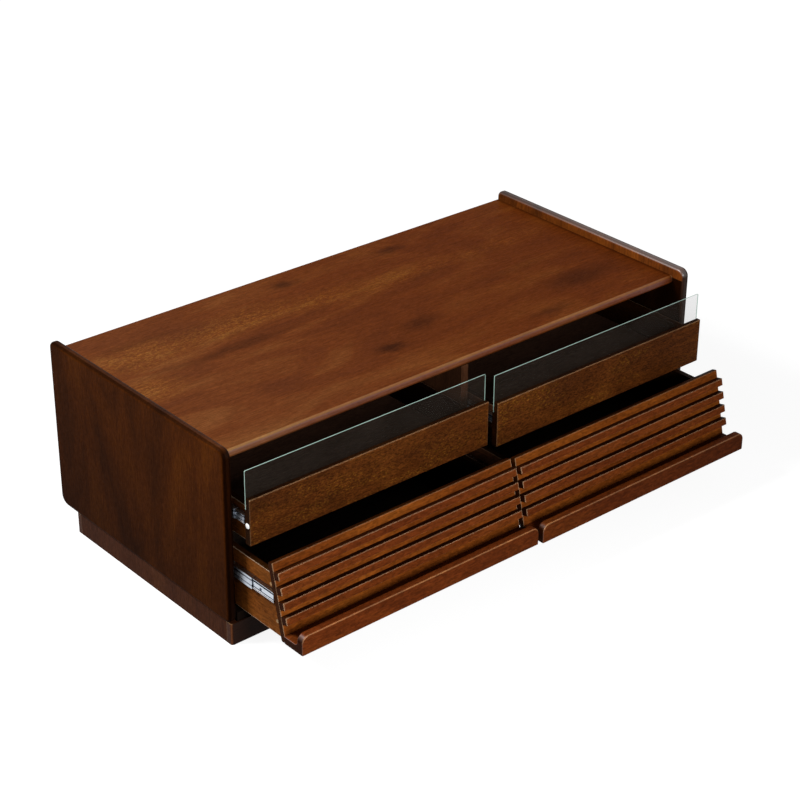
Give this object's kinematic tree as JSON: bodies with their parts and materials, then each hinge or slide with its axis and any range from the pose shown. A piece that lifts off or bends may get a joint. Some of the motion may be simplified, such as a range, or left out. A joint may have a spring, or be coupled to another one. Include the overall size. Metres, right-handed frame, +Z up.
{
  "type": "coffee table with drawers",
  "caption": "Low wooden coffee table on a plinth: upper drawers with a glass-topped front and lower drawers with a leaning slatted front and a lip handle, all on telescopic slides.",
  "frame": {"origin": "on the floor under the middle of the case: midway between the side panels and midway along their depth", "axes": "+X along the table to the right seen from the front, drawers open towards -Y, +Z up"},
  "size_m": [1.2, 0.7653, 0.409],
  "materials": {
    "stained_wood": "dark red-brown stain under satin lacquer",
    "drawer_wood": "orange-brown stain under satin lacquer",
    "dowel_wood": "bare end grain",
    "glass": "clear float glass with polished edges",
    "slide_steel": "bright zinc plate",
    "cap_plastic": "white"
  },
  "bodies": {
    "carcass": {"back_panel": "stained_wood", "bottom_panel": "stained_wood", "centre_divider": "stained_wood", "lower_outer_rails": "slide_steel", "plinth_back": "stained_wood", "plinth_centre": "stained_wood", "plinth_front": "stained_wood", "plinth_left": "stained_wood", "plinth_right": "stained_wood", "side_panel_left": "stained_wood", "side_panel_right": "stained_wood", "top_panel": "stained_wood", "upper_outer_rails": "slide_steel"},
    "upper_left_drawer": {"upper_left_back": "drawer_wood", "upper_left_bottom": "drawer_wood", "upper_left_cap": "cap_plastic", "upper_left_front": "stained_wood", "upper_left_glass": "glass", "upper_left_inner_rails": "slide_steel", "upper_left_side_left": "drawer_wood", "upper_left_side_right": "drawer_wood"},
    "upper_left_slide": {"upper_left_middle_rails": "slide_steel"},
    "upper_right_drawer": {"upper_right_back": "drawer_wood", "upper_right_bottom": "drawer_wood", "upper_right_cap": "cap_plastic", "upper_right_front": "stained_wood", "upper_right_glass": "glass", "upper_right_inner_rails": "slide_steel", "upper_right_side_left": "drawer_wood", "upper_right_side_right": "drawer_wood"},
    "upper_right_slide": {"upper_right_middle_rails": "slide_steel"},
    "lower_left_drawer": {"lower_left_back": "drawer_wood", "lower_left_bottom": "drawer_wood", "lower_left_box_front": "drawer_wood", "lower_left_dowels": "dowel_wood", "lower_left_front": "stained_wood", "lower_left_handle": "stained_wood", "lower_left_inner_rails": "slide_steel", "lower_left_side_left": "drawer_wood", "lower_left_side_right": "drawer_wood", "lower_left_slat_1": "stained_wood", "lower_left_slat_2": "stained_wood", "lower_left_slat_3": "stained_wood", "lower_left_slat_4": "stained_wood"},
    "lower_left_slide": {"lower_left_middle_rails": "slide_steel"},
    "lower_right_drawer": {"lower_right_back": "drawer_wood", "lower_right_bottom": "drawer_wood", "lower_right_box_front": "drawer_wood", "lower_right_dowels": "dowel_wood", "lower_right_front": "stained_wood", "lower_right_handle": "stained_wood", "lower_right_inner_rails": "slide_steel", "lower_right_side_left": "drawer_wood", "lower_right_side_right": "drawer_wood", "lower_right_slat_1": "stained_wood", "lower_right_slat_2": "stained_wood", "lower_right_slat_3": "stained_wood", "lower_right_slat_4": "stained_wood"},
    "lower_right_slide": {"lower_right_middle_rails": "slide_steel"}
  },
  "joints": [
    {"name": "upper_left_drawer_slide", "type": "slide", "parent": "carcass", "child": "upper_left_drawer", "axis": [0, -1, 0], "range_m": [-0.057, 0.343]},
    {"name": "upper_left_rail_slide", "type": "slide", "parent": "carcass", "child": "upper_left_slide", "axis": [0, -1, 0], "range_m": [-0.0285, 0.1715]},
    {"name": "upper_right_drawer_slide", "type": "slide", "parent": "carcass", "child": "upper_right_drawer", "axis": [0, -1, 0], "range_m": [-0.074, 0.326]},
    {"name": "upper_right_rail_slide", "type": "slide", "parent": "carcass", "child": "upper_right_slide", "axis": [0, -1, 0], "range_m": [-0.037, 0.163]},
    {"name": "lower_left_drawer_slide", "type": "slide", "parent": "carcass", "child": "lower_left_drawer", "axis": [0, -1, 0], "range_m": [-0.125, 0.275]},
    {"name": "lower_left_rail_slide", "type": "slide", "parent": "carcass", "child": "lower_left_slide", "axis": [0, -1, 0], "range_m": [-0.0625, 0.1375]},
    {"name": "lower_right_drawer_slide", "type": "slide", "parent": "carcass", "child": "lower_right_drawer", "axis": [0, -1, 0], "range_m": [-0.129, 0.271]},
    {"name": "lower_right_rail_slide", "type": "slide", "parent": "carcass", "child": "lower_right_slide", "axis": [0, -1, 0], "range_m": [-0.0645, 0.1355]}
  ],
  "couplings": [
    {"joint": "upper_left_rail_slide", "follows": "upper_left_drawer_slide", "ratio": 0.5},
    {"joint": "upper_right_rail_slide", "follows": "upper_right_drawer_slide", "ratio": 0.5},
    {"joint": "lower_left_rail_slide", "follows": "lower_left_drawer_slide", "ratio": 0.5},
    {"joint": "lower_right_rail_slide", "follows": "lower_right_drawer_slide", "ratio": 0.5}
  ]
}
